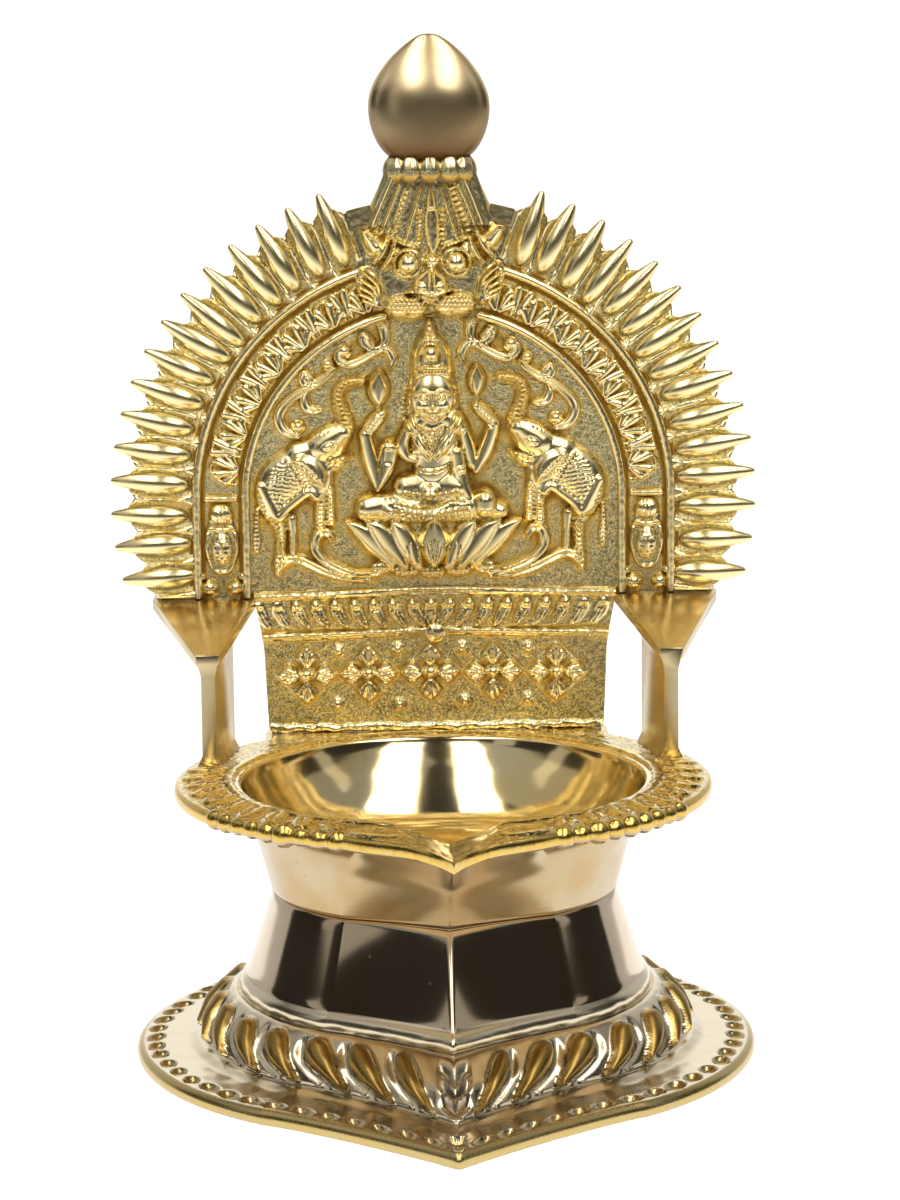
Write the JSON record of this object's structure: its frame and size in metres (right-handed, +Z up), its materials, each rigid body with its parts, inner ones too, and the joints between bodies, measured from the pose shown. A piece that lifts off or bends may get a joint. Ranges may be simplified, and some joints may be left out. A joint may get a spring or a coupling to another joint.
{
  "type": "kamakshi oil lamp",
  "caption": "Cast brass oil lamp: a keeled hollow pedestal, a spouted round bowl, and an arched back plate with rays, a lion mask, a seated figure and a bud finial, carried on side pillars.",
  "frame": {"origin": "centre of the footprint's box, on the surface that the foot rests on", "axes": "+Z up; -Y towards the spout and the viewer of the plate; +X to that viewer's right"},
  "size_m": [0.138, 0.1426, 0.2043],
  "materials": {
    "polished_brass": "hand polished casting, bright on edges with brown tarnish in hollows",
    "cast_brass": "sand-cast relief, brushed bright on high spots and left rough and darker in the ground",
    "clamp_steel": "plain zinc-plated steel"
  },
  "bodies": {
    "root": {"pedestal": "polished_brass", "oil_bowl": "polished_brass", "arch_plate": "cast_brass", "bud_finial": "polished_brass", "pillar_left": "polished_brass", "pillar_right": "polished_brass", "plate_rivet": "polished_brass", "rear_stay": "cast_brass", "clamp_bar": "cast_brass", "clamp_stud": "clamp_steel", "clamp_washer": "clamp_steel", "clamp_nut": "clamp_steel"}
  },
  "joints": []
}
